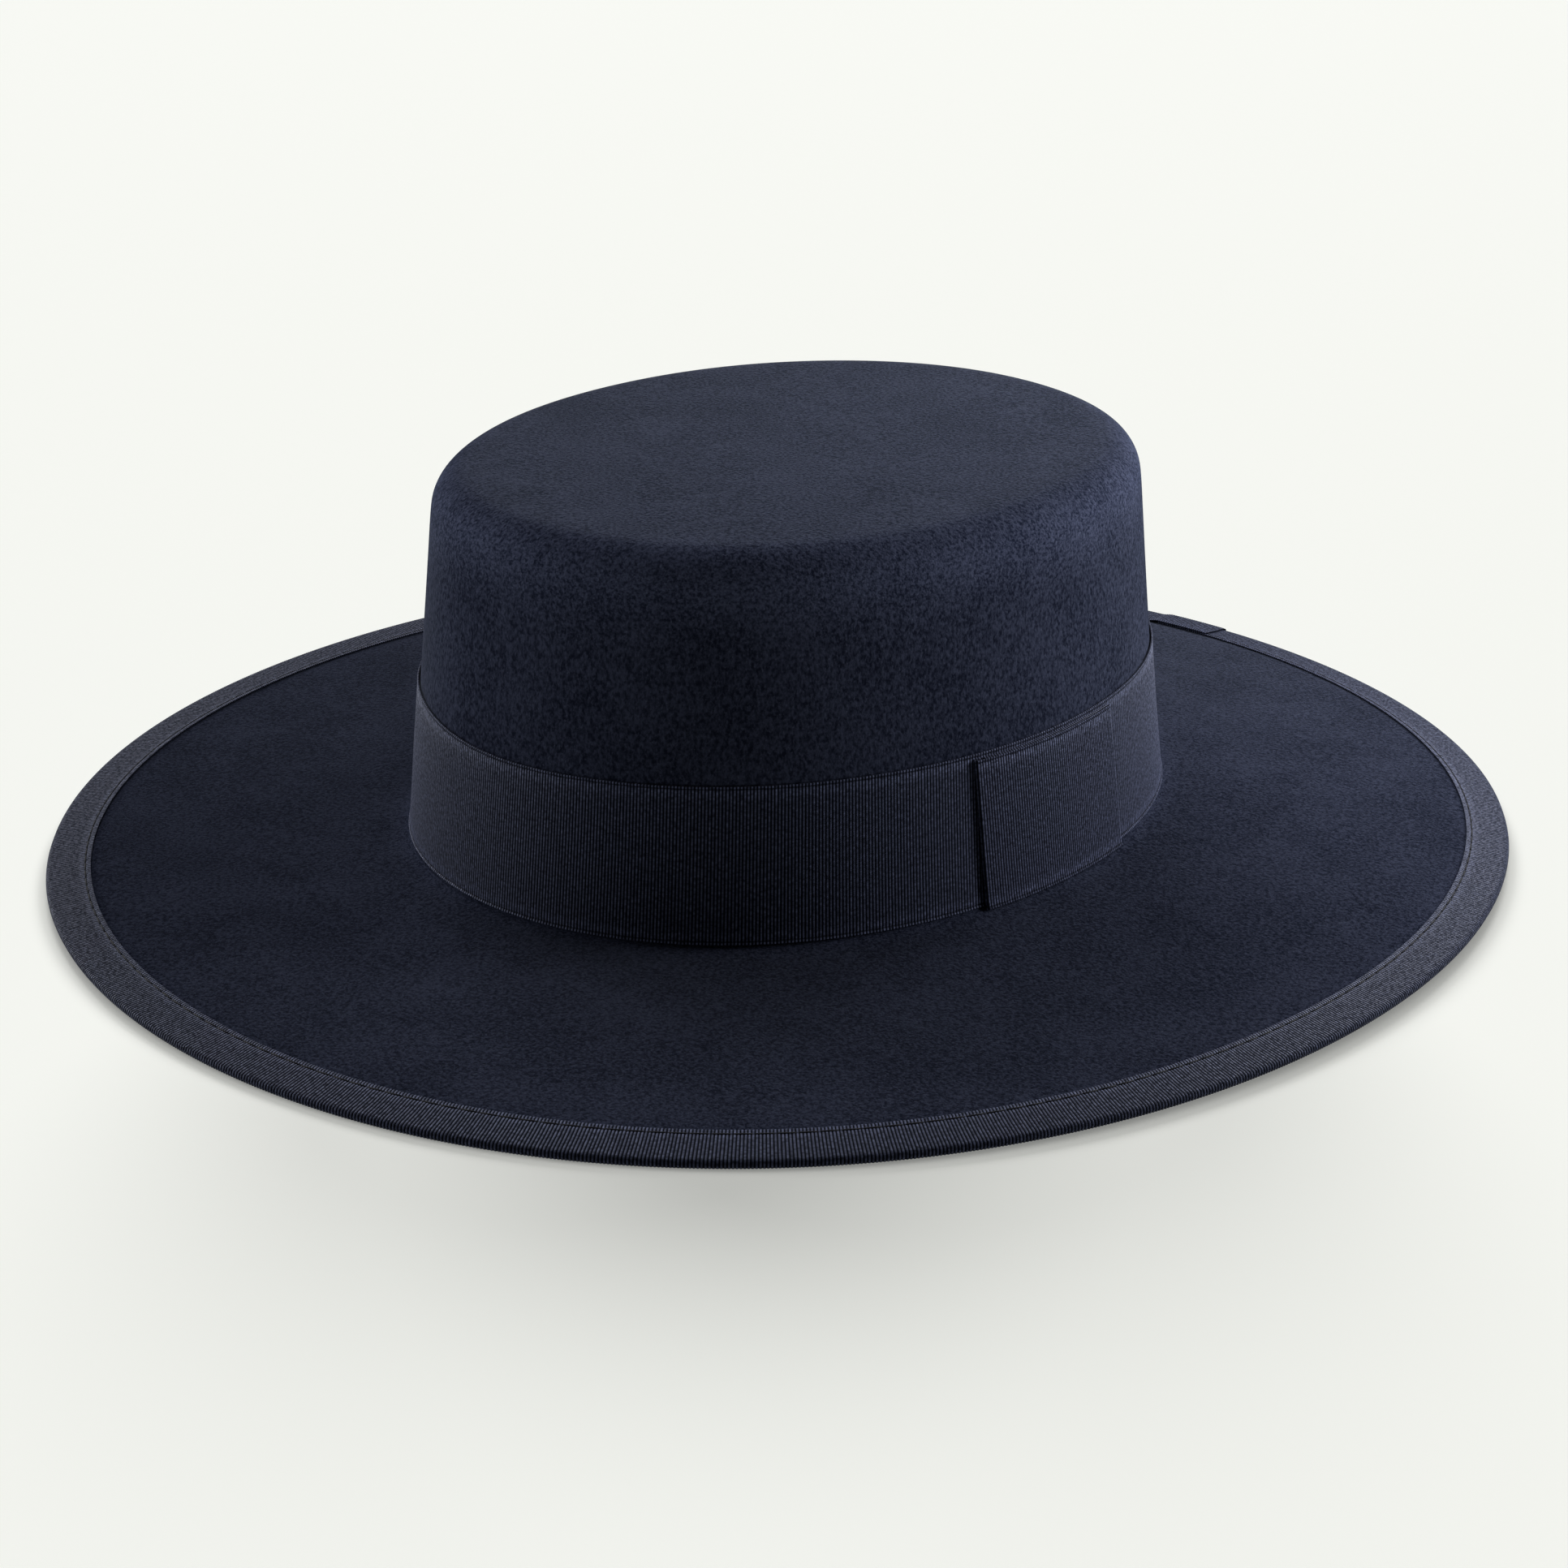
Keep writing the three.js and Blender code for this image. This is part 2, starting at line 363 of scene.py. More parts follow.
def feltRows():
    # half width, half length and height of each ring: over the outside to the edge, back on the inside
    shape = feltShape
    rise = hatForm["crownRise"]
    thick = hatForm["feltThickness"]
    footRadius = hatForm["footRadius"]
    radius = shape["shoulderRadius"]
    quarter = math.pi / 2
    leanAngle = math.atan((hatForm["sideLean"] + hatForm["frontLean"]) / 2 / rise)
    shoulderTop = rise - radius * (1 - math.sin(leanAngle))
    centre = float(wallGrow(shoulderTop)) - radius * math.cos(leanAngle)
    shoulder = (centre, brimRoot + rise - radius, shoulderTop / rise)
    foot = (float(wallGrow(footRadius)) + footRadius, brimRoot + footRadius, footRadius / rise)

    def wall(share, inset):
        return *ovalAxes(float(wallGrow(share * rise)) - inset, share), brimRoot + share * rise

    def brim(share, height):
        return *ovalAxes(brimSpan * share, 0), float(height(share))

    def closing(ring, shares):
        return [(ring[0] * share, ring[1] * share, ring[2]) for share in shares]

    over = arcRows(*shoulder, radius, quarter, leanAngle, shape["shoulderSteps"])
    under = arcRows(*shoulder, radius - thick, leanAngle, quarter, shape["innerShoulderSteps"])
    rows = closing(over[0], shape["topRings"]) + over
    rows += [wall(share, 0) for share in shape["wallShares"]]
    rows += arcRows(*foot, footRadius, math.pi, quarter * 3, shape["footSteps"])
    rows += [brim(share, brimTop) for share in shape["brimShares"]]
    rows += arcRows(brimSpan, edgeHeight, 0, halfEdge, quarter, -quarter, shape["edgeSteps"])
    rows += [brim(share, brimUnder) for share in shape["innerShares"]]
    rows += arcRows(*foot, footRadius + thick, quarter * 3, math.pi, shape["footSteps"])
    rows += [wall(share, thick) for share in shape["innerWallShares"]]
    return rows + under + closing(under[-1], shape["innerTopRings"])


def brushNapAndPaintLight(felt, points, share):
    # tells the material where the nap is brushed down the wall, and where light and shade are painted: a
    # painted highlight over the shoulder, painted shade on the brim
    look = feltLook
    height = points[:, 2]
    belowTop = np.clip((feltHigh.z - look["brushDepth"] - height) / look["brushFade"], 0, 1)
    wall = belowTop * np.clip((height - brimRoot) / look["brushEnd"], 0, 1)
    # painted highlight over the shoulder, painted shade on the brim
    around = np.hypot(points[:, 0] / footWidth, points[:, 1] / footLength)
    nearShoulder = np.exp(-((feltHigh.z - look["highlightDepth"] - height) / look["highlightReach"]) ** 2)
    shoulder = nearShoulder * np.clip((around - look["highlightFrom"]) / look["highlightFade"], 0, 1)
    onBrim = np.clip(share / look["brimShadeFade"], 0, 1)
    paintedLight = 1 + look["shoulderHighlight"] * shoulder - look["brimShade"] * onBrim
    for name, values in (("wall", wall), ("paintedLight", paintedLight)):
        attribute = felt.data.attributes.new(name, "FLOAT", "POINT")
        attribute.data.foreach_set("value", values.astype(np.float32))


def makeFelt():
    rows = feltRows()
    deselectAll()
    bpy.ops.mesh.primitive_circle_add(vertices=feltShape["columns"], radius=1, location=(0, 0, 0))
    felt = bpy.context.object
    felt.name = "felt"
    bpy.ops.object.mode_set(mode="EDIT")
    bpy.ops.mesh.select_mode(type="EDGE")
    bpy.ops.mesh.select_all(action="SELECT")
    bpy.ops.transform.resize(value=(rows[0][0], rows[0][1], 1), center_override=(0, 0, 0))
    bpy.ops.transform.translate(value=(0, 0, rows[0][2]))
    for before, row in zip(rows, rows[1:]):
        growth = (row[0] / before[0], row[1] / before[1], 1)
        bpy.ops.mesh.extrude_region_move(TRANSFORM_OT_translate={"value": (0, 0, row[2] - before[2])})
        bpy.ops.transform.resize(value=growth, center_override=(0, 0, row[2]))
    # the first and the last ring are closed with a face each
    bpy.ops.mesh.select_all(action="DESELECT")
    bpy.ops.mesh.select_non_manifold()
    bpy.ops.mesh.fill_holes(sides=0)
    bpy.ops.mesh.select_all(action="SELECT")
    bpy.ops.mesh.normals_make_consistent(inside=False)
    bpy.ops.object.mode_set(mode="OBJECT")
    subdivision = felt.modifiers.new("rounding", "SUBSURF")
    subdivision.levels = subdivision.render_levels = feltShape["roundingLevels"]
    applyModifiers(felt)

    points = pointsOf(felt)
    share, angle = brimPlace(points[:, 0], points[:, 1])
    full = 1 + hatForm["ovalFullness"] * np.sin(2 * angle) ** 2
    points[:, :2] *= full[:, None]
    brushNapAndPaintLight(felt, points, share)
    movePoints(felt, settle(points))
    bpy.ops.object.shade_smooth()
    finishPiece(felt, ["felt_body"], feltMaterial())
    return felt


# Ribbed ribbon: stiff ribs run across it, and a bead and a sewn groove run along its selvage
ribbonWeave = {
    "pitch": 0.00079,
    "columnsPerRib": 3,
    "relief": 0.00014,
    "thickness": 0.00030,
    "bead": 0.00008,
    "beadRow": 1,
    "groove": 0.00012,
    "grooveRow": 2,
    "smoothAngle": math.radians(62),
}


def flatRibbon(name, length, rows, beads, grooves):
    # a ribbon lying flat, x along it, y across it at the given rows, its face at z = 0 between the ribs
    ribs = round(length / ribbonWeave["pitch"])
    columns = ribs * ribbonWeave["columnsPerRib"]
    strips = len(rows) - 1
    deselectAll()
    bpy.ops.mesh.primitive_grid_add(
        x_subdivisions=columns, y_subdivisions=strips, size=1, location=(0, 0, 0))
    ribbon = bpy.context.object
    ribbon.name = name
    points = pointsOf(ribbon)
    column = np.rint((points[:, 0] + 0.5) * columns).astype(int)
    row = np.rint((points[:, 1] + 0.5) * strips).astype(int)
    points[:, 0] = column / columns * length
    points[:, 1] = np.asarray(rows)[row]
    movePoints(ribbon, points)

    # its own map follows the flat ribbon, 0 to 1 along and across
    corners = np.zeros(len(ribbon.data.loops), dtype=np.int32)
    ribbon.data.loops.foreach_get("vertex_index", corners)
    flat = np.stack([points[corners, 0] / length, points[corners, 1] / rows[-1]], axis=1)
    layer = ribbon.data.uv_layers[0]
    layer.name = "ribbon"
    layer.data.foreach_set("uv", flat.astype(np.float32).ravel())

    for chosen, rise in (
        (column % ribbonWeave["columnsPerRib"] > 0, ribbonWeave["relief"]),
        (np.isin(row, beads), ribbonWeave["bead"]),
        (np.isin(row, grooves), -ribbonWeave["groove"]),
    ):
        selectPoints(ribbon, chosen)
        bpy.ops.object.mode_set(mode="EDIT")
        bpy.ops.mesh.select_mode(type="VERT")
        bpy.ops.transform.translate(value=(0, 0, rise))
        bpy.ops.object.mode_set(mode="OBJECT")
    wall = ribbon.modifiers.new("wall", "SOLIDIFY")
    wall.thickness = ribbonWeave["thickness"]
    wall.offset = -1
    applyModifiers(ribbon)
    return ribbon, ribs


def shapeRibbon(ribbon, points):
    # wraps the ribbon round the hat, crisp at its folds
    movePoints(ribbon, settle(points))
    bpy.ops.object.shade_smooth_by_angle(angle=ribbonWeave["smoothAngle"])


ribbonLook = {
    # painted shade: the grooves between the ribs are painted near black and the crests pale
    "groove": (0.0004, 0.0006, 0.0016, 1),
    "crest": (0.0450, 0.0515, 0.0880, 1),
    "grooveShadeWave": -0.62,
    "grooveShadeMiddle": 0.46,
    "ribSpread": 5.3,             # takes each rib to a part of the noise of its own
    "threadsPerPitch": 2.5,
    "threadRelief": 0.35,
    "bead": {"Scale": 1.25, "Detail": 2.0},
    "beadLight": {"From Min": 0.3, "From Max": 0.7, "To Min": 0.45, "To Max": 1.35},
    "lint": {"Scale": 0.8, "Detail": 3.0},
    "lintLight": {"From Min": 0.35, "From Max": 0.68, "To Min": 0.65, "To Max": 1.5},
    "seamLight": {"From Min": 0.00010, "From Max": 0.00030, "To Min": 0.25, "To Max": 1.0},
    # partly a painted highlight: the ribbon is painted paler within a few millimetres of each selvage
    "paleEndsAndHighlight": {"From Min": 0.0020, "From Max": 0.0032, "To Min": 1.5, "To Max": 1.0},
    "silk": {"To Min": 1.0, "To Max": 0.38},
    "bumpStrength": 0.4,
    "bumpDistance": 0.00008,
    "constants": {
        "Specular Tint": (0.54, 0.64, 1.0, 1),
        "Sheen Weight": 0.015,
        "Sheen Roughness": 0.35,
        "Sheen Tint": (0.85, 0.90, 1.0, 1),
    },
}


def ribbonMaterial(name, ribs, width, gloss, seam, brightness=1.0):
    look = ribbonLook
    material, tree, shader = newMaterial(name, look["constants"])
    shader.inputs["Specular IOR Level"].default_value = gloss
    flat = addNode(tree, "UVMap", uv_map="ribbon").outputs["UV"]
    size = (ribs, width / ribbonWeave["pitch"], 1)
    counted = addNode(tree, "Mapping", {"Vector": flat, "Scale": size}).outputs["Vector"]
    split = addNode(tree, "SeparateXYZ", {"Vector": counted})
    along, across = split.outputs["X"], split.outputs["Y"]
    # painted shade: the colour is near black in the grooves between the ribs and pale on their crests
    wave = compute(tree, "COSINE", compute(tree, "MULTIPLY", along, math.tau))
    crest = compute(tree, "MULTIPLY_ADD", wave, look["grooveShadeWave"], look["grooveShadeMiddle"], use_clamp=True)
    # each rib is wrapped by fine threads that show as a row of small beads
    ribPlace = compute(tree, "MULTIPLY", compute(tree, "FLOOR", along), look["ribSpread"])
    beadPlace = addNode(tree, "CombineXYZ", {"X": ribPlace, "Y": across}).outputs["Vector"]
    bead = noise(tree, beadPlace, look["bead"])
    threadTurn = compute(tree, "MULTIPLY_ADD", across, math.tau * look["threadsPerPitch"], ribPlace)
    thread = compute(tree, "SINE", threadTurn)
    beadLight = ranged(tree, bead, look["beadLight"])
    lintLight = ranged(tree, noise(tree, counted, look["lint"]), look["lintLight"])
    # a dark line runs along the seam beside each selvage, and the rib ends beyond it are paler, partly their
    # own paler colour and partly a painted highlight along the selvage
    share = addNode(tree, "SeparateXYZ", {"Vector": flat}).outputs["Y"]
    fromMiddle = compute(tree, "ABSOLUTE", compute(tree, "SUBTRACT", share, 0.5))
    fromEdge = compute(tree, "MULTIPLY_ADD", fromMiddle, -width, width / 2)
    fromSeam = compute(tree, "ABSOLUTE", compute(tree, "SUBTRACT", fromEdge, seam))
    seamLight = ranged(tree, fromSeam, look["seamLight"])
    lines = compute(tree, "MULTIPLY", seamLight, ranged(tree, fromEdge, look["paleEndsAndHighlight"]))
    lines = compute(tree, "MULTIPLY", lines, lintLight)
    light = compute(tree, "MULTIPLY", crest, beadLight)
    light = compute(tree, "MULTIPLY", light, lines)
    paleCrest = (*(part * brightness for part in look["crest"][:3]), 1)
    colour = blend(tree, light, look["groove"], paleCrest, clamp_factor=False)
    # the crests are silky and the grooves between them matt
    tree.links.new(ranged(tree, light, look["silk"]), shader.inputs["Roughness"])
    height = compute(tree, "MULTIPLY_ADD", thread, look["threadRelief"], bead)
    cover(tree, shader, colour, height, look["bumpStrength"], look["bumpDistance"])
    return material


bandShape = {
    "rows": (0, 0.00030, 0.00062, 0.0010, 0.0022, 0.0045, 0.010, 0.020, 0.030),
    "selvageRows": 4,            # so many of the rows are repeated at the upper selvage
    "inset": 0.00025,
    "endsApart": 0.9998,
    "topSag": 0.0014,
    "topLift": 0.0005,
    "sagAngle": math.radians(-93),
    "sagReach": math.radians(25),
    "gloss": 0.15,
}
bandHeight = bandHigh.z - bandLow.z
bandLift = bandLow.z - brimRoot
footAtBand = ovalAxes(footGrow(bandLift), bandLift / hatForm["crownRise"])[0]
bandOut = bandHigh.x - footAtBand - bandShape["inset"]


def bandRibbon(name, length):
    # a length of the band's ribbon, with the same bead and groove at both selvages
    rows = bandShape["rows"]
    rows = [*rows, *(bandHeight - row for row in reversed(rows[:bandShape["selvageRows"]]))]
    last = len(rows) - 1
    bead, groove = ribbonWeave["beadRow"], ribbonWeave["grooveRow"]
    return flatRibbon(name, length, rows, beads=(bead, last - bead), grooves=(groove, last - groove))


def makeBand():
    shape = bandShape
    middle = bandLift + bandHeight / 2
    angles, along = evenAngles(footGrow(middle) + bandOut, middle / hatForm["crownRise"], 0, math.tau)
    band, ribs = bandRibbon("hatBand", along[-1])
    flat = pointsOf(band)
    # the two ends meet under the bow, a hair's breadth apart
    angle = np.interp(flat[:, 0] * shape["endsApart"], along, angles)
    share = flat[:, 1] / bandHeight
    fromSag = (angle - math.tau - shape["sagAngle"]) / shape["sagReach"]
    height = bandLift + flat[:, 1] + share ** 2 * (shape["topLift"] - shape["topSag"] * np.exp(-fromSag ** 2))
    out = bandOut - ribbonWeave["relief"] + flat[:, 2]
    shapeRibbon(band, onOval(footGrow(height) + out, height / hatForm["crownRise"], brimRoot + height, angle))
    seam = shape["rows"][ribbonWeave["grooveRow"]]
    material = ribbonMaterial("bandRibbon", ribs, bandHeight, shape["gloss"], seam)
    finishPiece(band, ["hat_band"], material)
    return band


# The flat bow: ribbon folded to three layers that lie on the band
bowShape = {
    "innerFace": 0.00014,
    "middleFace": 0.00060,
    "outerFace": 0.00116,
    "innerEnd": 0.0235,
    "middleEnd": -0.0225,
    "runSteps": 40,
    "frontSteps": 16,
    "backSteps": 14,
    "slant": 0.0024,
    "forward": 0.0009,
    "headingStep": 0.0001,
    "gloss": 0.12,
}


def bowPath(width):
    # the folded ribbon's face seen from above: place along the band and distance out from it
    shape = bowShape
    inner, middle, outer = shape["innerFace"], shape["middleFace"], shape["outerFace"]
    frontRadius = (outer - inner) / 2
    backRadius = (outer - middle) / 2
    front = frontRadius - width / 2
    back = width / 2 - backRadius
    points = [(place, inner) for place in np.linspace(shape["innerEnd"], front, shape["runSteps"])]
    for turn in np.linspace(-math.pi / 2, -math.pi * 3 / 2, shape["frontSteps"])[1:]:
        points.append((front + frontRadius * math.cos(turn), inner + frontRadius * (1 + math.sin(turn))))
    points += [(place, outer) for place in np.linspace(front, back, shape["runSteps"])[1:]]
    for turn in np.linspace(math.pi / 2, -math.pi / 2, shape["backSteps"])[1:]:
        points.append((back + backRadius * math.cos(turn), outer - backRadius * (1 - math.sin(turn))))
    points += [(place, middle) for place in np.linspace(back, shape["middleEnd"], shape["runSteps"])[1:]]
    return np.array(points)


def makeBow():
    shape = bowShape
    path = bowPath(bowHigh.y - bowLow.y)
    along = np.concatenate([[0], np.cumsum(np.hypot(*np.diff(path, axis=0).T))])

    def onPath(distance):
        return np.stack([np.interp(distance, along, path[:, k]) for k in (0, 1)], axis=1)

    bow, ribs = bandRibbon("bandBow", along[-1])
    flat = pointsOf(bow)
    place = onPath(flat[:, 0])
    heading = onPath(flat[:, 0] + shape["headingStep"]) - onPath(flat[:, 0] - shape["headingStep"])
    heading /= np.hypot(*heading.T)[:, None]
    arc = place[:, 0] - heading[:, 1] * flat[:, 2]
    out = place[:, 1] + heading[:, 0] * flat[:, 2]
    height = bowLow.z - brimRoot + flat[:, 1]
    arc = arc - shape["forward"] - shape["slant"] * (flat[:, 1] / bandHeight - 0.5)
    onBand = footGrow(np.maximum(height, bandLift)) + bandOut
    reach = footLength + float(footGrow(bandHeight / 2)) + bandOut
    shapeRibbon(bow, onOval(onBand + out, height / hatForm["crownRise"], brimRoot + height, arc / reach))
    seam = bandShape["rows"][ribbonWeave["grooveRow"]]
    material = ribbonMaterial("bowRibbon", ribs, bandHeight, shape["gloss"], seam)
    finishPiece(bow, ["band_bow"], material)
    return bow


# Ribbon folded over the brim's edge. Its ends lap at the back.
bindingShape = {
    "width": 0.0106,
    "faceOut": 0.00046,          # how far the ribbon's face stands off the felt
    "innerRows": (0, 0.0005, 0.0013, 0.0021, 0.0050),
    "bendSteps": 4,
    "lapLength": 0.018,
    "lapStart": math.pi / 2,
    "lapLift": 0.00055,
    "easing": 0.004,
    "pressThin": 0.8,            # the end below is pressed thinner and in towards the felt
    "pressIn": 0.00033,
    "gloss": 0.085,
    "brightness": 0.80,
    "stitchPitch": 0.0044,
    "stitchLength": 0.0038,
    "stitchRadius": 0.00019,
    "stitchPlace": 0.0013,
    "stitchSides": 6,
    "stitchRise": 0.3,           # height of its middle, as a share of the ribs' relief
}
bindingOut = bindingShape["faceOut"]
bindingRun = bindingShape["width"] - bindingOut - halfEdge
bendRadius = halfEdge + bindingOut
bindingAround = bindingRun * 2 + math.pi * bendRadius


def overEdge(across, out, angle, lift=0.0, pressed=0.0):
    # the ribbon's section at a distance out from its face: over the top, round the edge and in under the brim
    turn = np.clip((across - bindingRun) / bendRadius, 0, math.pi)
    under = across > bindingRun + math.pi * bendRadius
    back = np.maximum(bindingRun - across, 0) + np.maximum(across - bindingRun - math.pi * bendRadius, 0)
    share = 1 - back / brimSpan
    # in the lap one end rides on the other above the brim, and the other is pressed thin below it
    onTop = (1 + np.cos(turn)) / 2
    below = (1 - np.cos(turn)) / 2
    out = out * (1 - bindingShape["pressThin"] * pressed * below) - bindingShape["pressIn"] * pressed * below
    away = out - ribbonWeave["relief"] + lift * onTop
    top = brimTop(share) + bindingOut + away
    bottom = brimUnder(share) - bindingOut - away
    radius = bendRadius + away
    height = np.select([back <= 0, under], [edgeHeight + radius * np.cos(turn), bottom], top)
    return onOval(brimSpan * share + radius * np.sin(turn), 0.0, height, angle)


def makeBinding():
    shape = bindingShape
    lapTurn = shape["lapLength"] / feltHigh.x
    start = shape["lapStart"] + lapTurn
    angles, along = evenAngles(brimSpan + bendRadius, 0.0, start, -math.tau - lapTurn)
    steps = shape["bendSteps"]
    bendRows = [bindingRun + math.pi * bendRadius * step / steps for step in range(steps + 1)]
    rows = [*shape["innerRows"], *bendRows, bindingAround]
    beads, grooves = (ribbonWeave["beadRow"],), (ribbonWeave["grooveRow"],)
    binding, ribs = flatRibbon("brimBinding", along[-1], rows, beads, grooves)
    flat = pointsOf(binding)
    angle = np.interp(flat[:, 0], along, angles)
    # the last stretch climbs over the first and ends on top of it
    lapReach = shape["lapLength"] + shape["easing"]
    lapped = eased((lapReach - (along[-1] - flat[:, 0])) / shape["easing"])
    pressed = np.clip((lapReach - flat[:, 0]) / shape["easing"], 0, 1)
    shapeRibbon(binding, overEdge(flat[:, 1], flat[:, 2], angle, lapped * shape["lapLift"], pressed))
    stitches = makeStitches()
    material = ribbonMaterial("bindingRibbon", ribs, bindingAround, shape["gloss"], shape["stitchPlace"],
                              shape["brightness"])
    finishPiece(binding, ["brim_binding"], material)
    return binding


def makeStitches():
    # one lockstitch, modelled once and copied round the binding's inner edge, on top and underneath
    shape = bindingShape
    deselectAll()
    bpy.ops.mesh.primitive_uv_sphere_add(
        segments=shape["stitchSides"], ring_count=shape["stitchSides"], radius=shape["stitchRadius"],
        location=(0, 0, 0))
    first = bpy.context.object
    bpy.ops.object.mode_set(mode="EDIT")
    bpy.ops.transform.rotate(value=math.pi / 2, orient_axis="Y", center_override=(0, 0, 0))
    bpy.ops.object.mode_set(mode="OBJECT")
    points = pointsOf(first)
    # the ends are pushed apart, so the ball becomes a short straight thread
    points[:, 0] += np.sign(np.round(points[:, 0], 7)) * (shape["stitchLength"] / 2 - shape["stitchRadius"])
    movePoints(first, points)
    rest = pointsOf(first)
    angles, along = evenAngles(brimSpan - bindingRun, 0.0, 0, math.tau)
    count = round(along[-1] / shape["stitchPitch"])
    rise = ribbonWeave["relief"] * shape["stitchRise"]
    copies = []
    for index in range(count * 2):
        copy = first.copy()
        copy.data = first.data.copy()
        bpy.context.scene.collection.objects.link(copy)
        copies.append(copy)
        distance = (index % count + 0.5) / count * along[-1] + rest[:, 0]
        angle = np.interp(distance % along[-1], along, angles)
        across = shape["stitchPlace"] + rest[:, 1]
        if index >= count:
            across = bindingAround - across
        movePoints(copy, settle(overEdge(across, rise + rest[:, 2], angle)))
    bpy.data.objects.remove(first)
    deselectAll()
    for copy in copies:
        copy.select_set(True)
    stitches = copies[0]
    bpy.context.view_layer.objects.active = stitches
    bpy.ops.object.join()
    stitches.name = "bindingStitches"
    bpy.ops.object.mode_set(mode="EDIT")
    bpy.ops.mesh.select_all(action="SELECT")
    bpy.ops.mesh.normals_make_consistent(inside=False)
    bpy.ops.object.mode_set(mode="OBJECT")
    bpy.ops.object.shade_smooth()
    finishPiece(stitches, [], threadMaterial())
    return stitches


threadLook = {
    "dark": (0.0008, 0.0011, 0.0024, 1),
    "light": (0.0030, 0.0036, 0.0070, 1),
    "twist": {"Scale": 2600, "Detail": 2.0},
    "bumpStrength": 0.5,
    "bumpDistance": 0.0001,
    "constants": {"Roughness": 0.7, "Specular IOR Level": 0.12},
}


def threadMaterial():
    look = threadLook
    material, tree, shader = newMaterial("stitchThread", look["constants"])
    twist = noise(tree, addNode(tree, "TexCoord").outputs["Object"], look["twist"])
    colour = blend(tree, twist, look["dark"], look["light"])
    cover(tree, shader, colour, twist, look["bumpStrength"], look["bumpDistance"])
    return material


# Studio: a plain pale floor, soft light that comes mostly from behind, and the camera
studio = {
    "floorSize": 40,
    "floorColour": (0.80, 0.81, 0.77, 1),
    "floorGlow": 0.29,
    "floorRoughness": 0.9,
    "floorGloss": 0.1,
    "skyColour": (0.97, 0.985, 1.0, 1),
    "skyLevel": 0.015,
    "skySeen": 0.88,             # how bright the sky looks to the camera alone
    "suns": (
        # name, azimuth that it shines from, elevation, strength, soft angle
        ("highBehind", 156, 45, 2.50, 30),
        ("leftBehind", 185, 14, 1.25, 30),
        ("left", 213, 14, 1.60, 30),
    ),
    "floorSuns": (
        ("floorBehindLeft", 146, 28, 1.68, 20),
        ("floorBehindRight", 118, 28, 1.68, 20),
        ("floorAbove", 132, 88, 0.97, 100),
    ),
    "softboxes": (
        # name, place, strength
        ("rightBox", (0.401, 0.303, 0.22), 2.0),
        ("behindBox", (0.019, 0.495, 0.30), 1.72),
        ("nearBox", (0.130, 0.170, 0.165), 0.44),
    ),
    "boxSize": 0.20,
    "boxAim": (0, 0, 0.06),
    "cameraPlace": (0.48956, -0.53217, 0.30694),
    "cameraAim": (-0.00158, -0.00146, 0.00849),
    "cameraRoll": math.radians(0.9),
    "lens": 70.42,
    "sensorWidth": 36,
    "clipStart": 0.01,
}


def makeFloor():
    deselectAll()
    bpy.ops.mesh.primitive_plane_add(size=studio["floorSize"], location=(0, 0, 0))
    floor = bpy.context.object
    floor.name = "floor"
    material = newMaterial("paleFloor", {
        "Base Color": studio["floorColour"],
        "Emission Color": studio["floorColour"],
        "Emission Strength": studio["floorGlow"],
        "Roughness": studio["floorRoughness"],
        "Specular IOR Level": studio["floorGloss"],
    })[0]
    floor.data.materials.append(material)
    return floor


def makeSky():
    world = bpy.data.worlds.new("softSky")
    bpy.context.scene.world = world
    world.use_nodes = True
    tree = world.node_tree
    seen = addNode(tree, "LightPath").outputs["Is Camera Ray"]
    levels = {"Factor": seen, "A": studio["skyLevel"], "B": studio["skySeen"]}
    strength = addNode(tree, "Mix", levels, data_type="FLOAT").outputs["Result"]
    sky = tree.nodes["Background"]
    sky.inputs["Color"].default_value = studio["skyColour"]
    tree.links.new(strength, sky.inputs["Strength"])


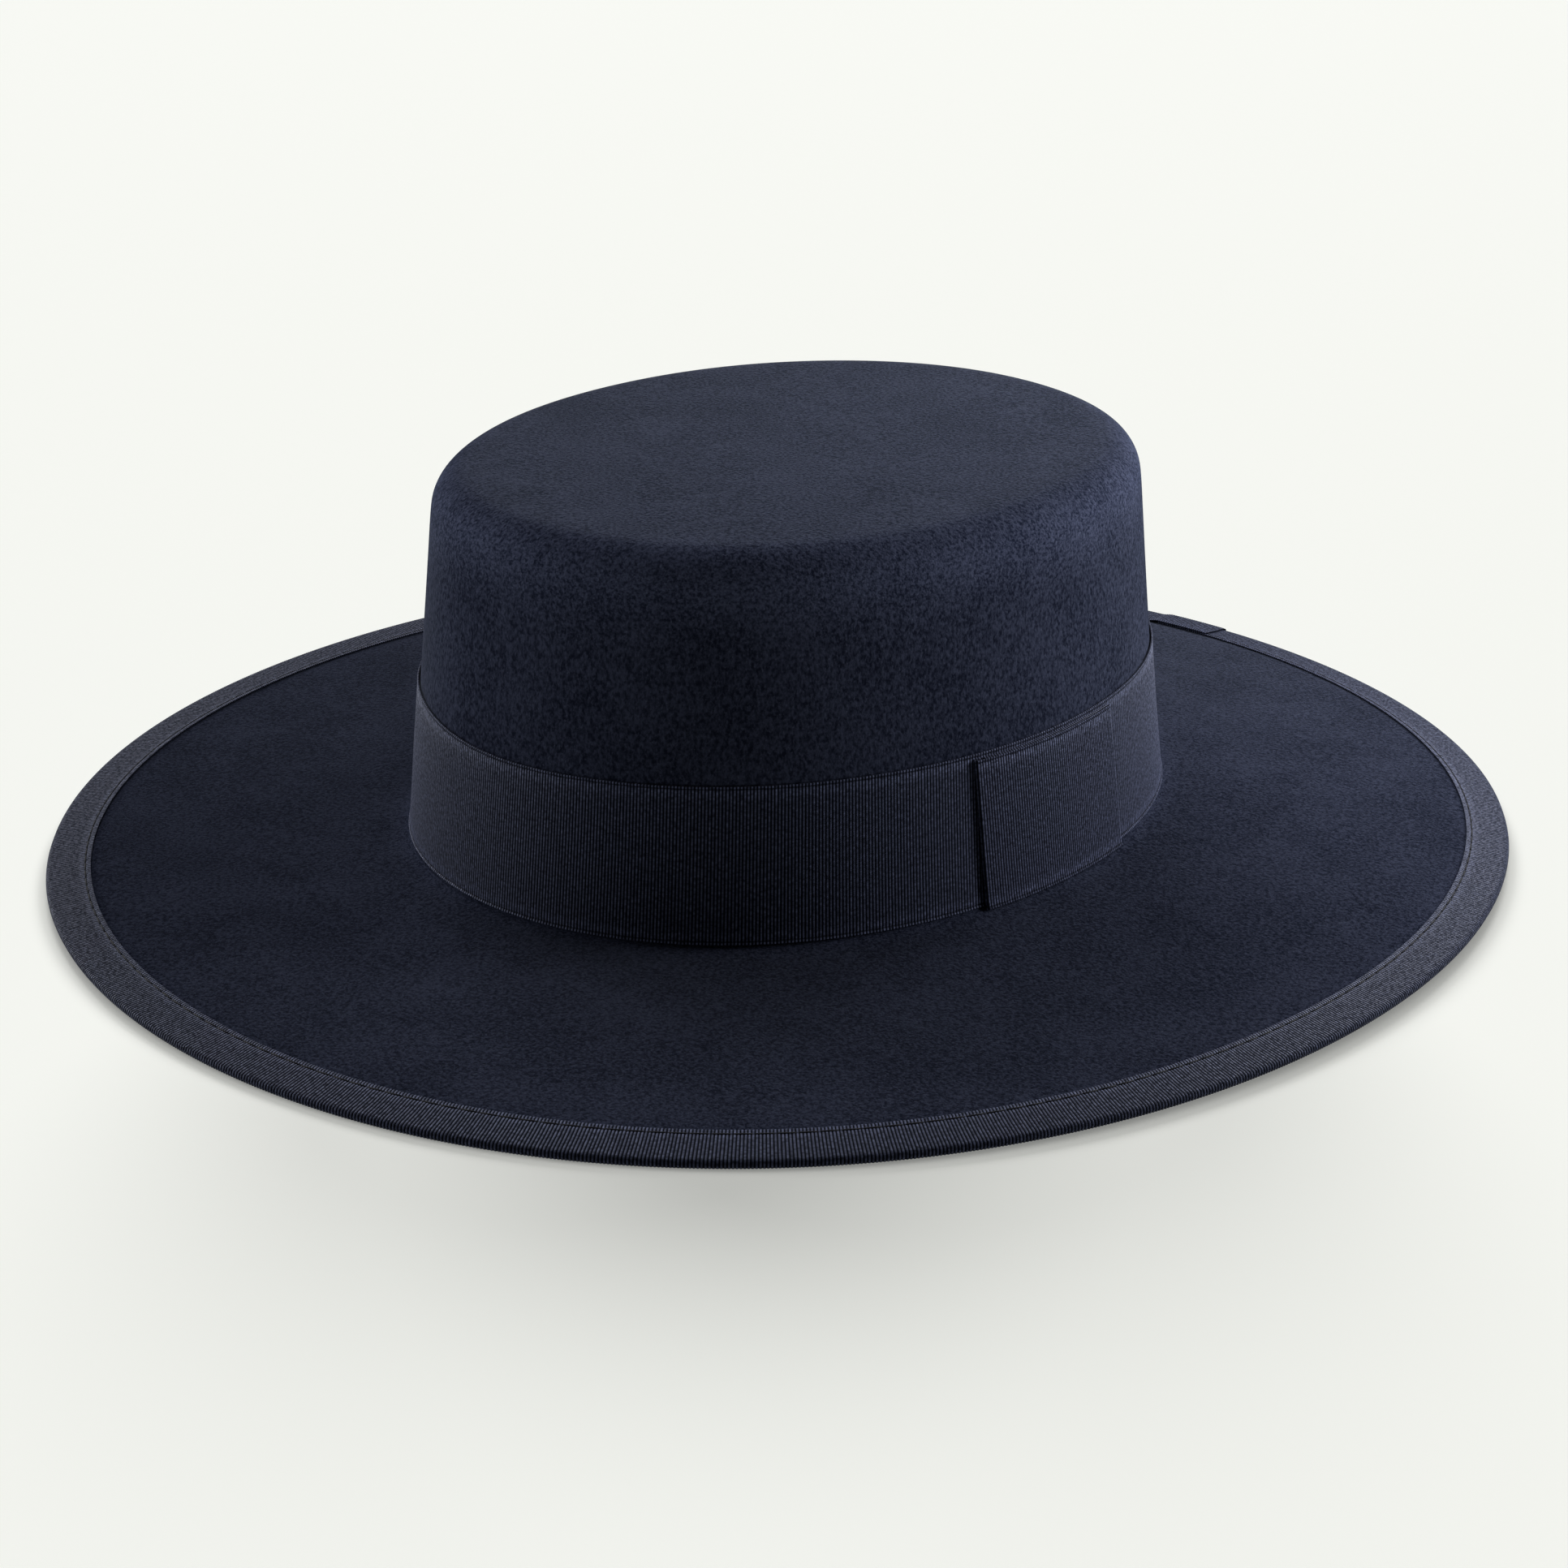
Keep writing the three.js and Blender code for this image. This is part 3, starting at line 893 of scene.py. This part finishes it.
def addLamp(name, kind, strength, place, aim, receivers):
    data = bpy.data.lights.new(name, kind)
    data.energy = strength
    lamp = bpy.data.objects.new(name, data)
    bpy.context.scene.collection.objects.link(lamp)
    lamp.location = place
    lamp.rotation_mode = "QUATERNION"
    lamp.rotation_quaternion = (Vector(place) - Vector(aim)).to_track_quat("Z", "Y")
    lamp.light_linking.receiver_collection = receivers
    return data


def addSuns(suns, receivers):
    for name, azimuth, elevation, strength, angle in suns:
        turn, rise = math.radians(azimuth), math.radians(elevation)
        towards = (math.cos(turn) * math.cos(rise), math.sin(turn) * math.cos(rise), math.sin(rise))
        addLamp(name, "SUN", strength, towards, (0, 0, 0), receivers).angle = math.radians(angle)


def makeCamera():
    data = bpy.data.cameras.new("camera")
    data.lens = studio["lens"]
    data.sensor_width = studio["sensorWidth"]
    data.clip_start = studio["clipStart"]
    camera = bpy.data.objects.new("camera", data)
    bpy.context.scene.collection.objects.link(camera)
    camera.location = studio["cameraPlace"]
    camera.rotation_mode = "QUATERNION"
    look = Vector(studio["cameraAim"]) - Vector(studio["cameraPlace"])
    camera.rotation_quaternion = look.to_track_quat("-Z", "Y") @ Quaternion((0, 0, 1), studio["cameraRoll"])
    bpy.context.scene.camera = camera
    bpy.context.scene.view_settings.view_transform = "Standard"


def makeStudio():
    floor = makeFloor()
    makeSky()
    # the first suns and the softboxes light the hat alone, and the floor has suns of its own
    hatOnly = bpy.data.collections.new("hatOnly")
    floorOnly = bpy.data.collections.new("floorOnly")
    floorOnly.objects.link(floor)
    addSuns(studio["suns"], hatOnly)
    addSuns(studio["floorSuns"], floorOnly)
    for name, place, strength in studio["softboxes"]:
        addLamp(name, "AREA", strength, place, studio["boxAim"], hatOnly).size = studio["boxSize"]
    makeCamera()
    print("studio is lit")
    return hatOnly


hatOnly = makeStudio()
for made in (makeFelt(), makeBand(), makeBow(), makeBinding()):
    hatOnly.objects.link(made)
hatOnly.objects.link(bpy.data.objects["bindingStitches"])

print("all pieces made")
